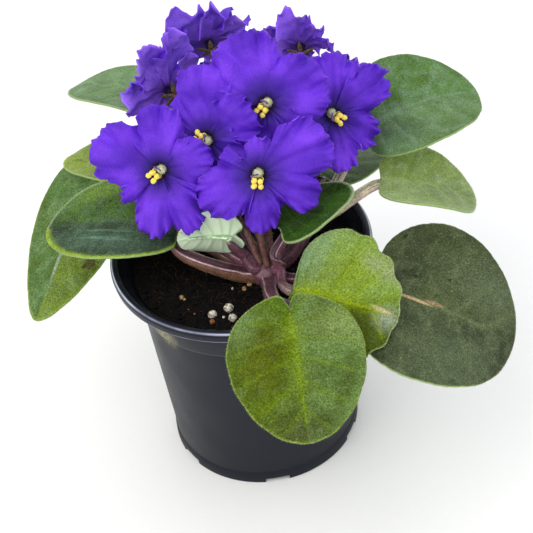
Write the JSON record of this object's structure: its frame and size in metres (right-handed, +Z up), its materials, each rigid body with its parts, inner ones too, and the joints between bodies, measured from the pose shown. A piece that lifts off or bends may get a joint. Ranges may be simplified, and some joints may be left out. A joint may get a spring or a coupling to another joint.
{
  "type": "potted african violet",
  "caption": "African violet with scalloped hairy leaves and violet-blue flowers, growing in a round black plastic nursery pot.",
  "frame": {"origin": "middle of the underside of the whole part's box, on the surface that the pot stands on", "axes": "+Z up along the pot's axis; -Y is the side of the pot that the picture shows, and +X is to its right"},
  "size_m": [0.2228, 0.2175, 0.2068],
  "materials": {
    "pot": "satin",
    "soil": "loose moist peat, matte",
    "crown": "matte",
    "petiole": "hairy, satin",
    "leaf_dark": "hairy, quilted, satin",
    "leaf_bright": "hairy, quilted, satin",
    "petal": "velvety",
    "anther": "satin",
    "flower_stalk": "hairy, matte"
  },
  "bodies": {
    "root": {"anthers_centre": "anther", "anthers_farRight": "anther", "anthers_front": "anther", "anthers_frontLeft": "anther", "anthers_lowLeft": "anther", "anthers_middleLeft": "anther", "anthers_rearLeft": "anther", "anthers_rearRight": "anther", "anthers_right": "anther", "anthers_top": "anther", "anthers_topRight": "anther", "anthers_upperLeft": "anther", "corolla_centre": "petal", "corolla_farRight": "petal", "corolla_front": "petal", "corolla_frontLeft": "petal", "corolla_lowLeft": "petal", "corolla_middleLeft": "petal", "corolla_rearLeft": "petal", "corolla_rearRight": "petal", "corolla_right": "petal", "corolla_top": "petal", "corolla_topRight": "petal", "corolla_upperLeft": "petal", "crown": "crown", "leaf_folded": "leaf_dark", "leaf_front": "leaf_bright", "leaf_frontRight": "leaf_bright", "leaf_inner": "leaf_dark", "leaf_left": "leaf_dark", "leaf_leftBack": "leaf_dark", "leaf_leftHanging": "leaf_bright", "leaf_leftSmall": "leaf_bright", "leaf_rear": "leaf_dark", "leaf_rearLeft": "leaf_dark", "leaf_rearRight": "leaf_dark", "leaf_right": "leaf_dark", "leaf_rightBack": "leaf_bright", "leaf_rightSmall": "leaf_bright", "petiole_folded": "petiole", "petiole_front": "petiole", "petiole_frontRight": "petiole", "petiole_inner": "petiole", "petiole_left": "petiole", "petiole_leftBack": "petiole", "petiole_leftHanging": "petiole", "petiole_leftSmall": "petiole", "petiole_rear": "petiole", "petiole_rearLeft": "petiole", "petiole_rearRight": "petiole", "petiole_right": "petiole", "petiole_rightBack": "petiole", "petiole_rightSmall": "petiole", "pot": "pot", "soil": "soil", "stalk_centre": "flower_stalk", "stalk_left": "flower_stalk", "stalk_middle": "flower_stalk", "stalk_right": "flower_stalk"}
  },
  "joints": []
}
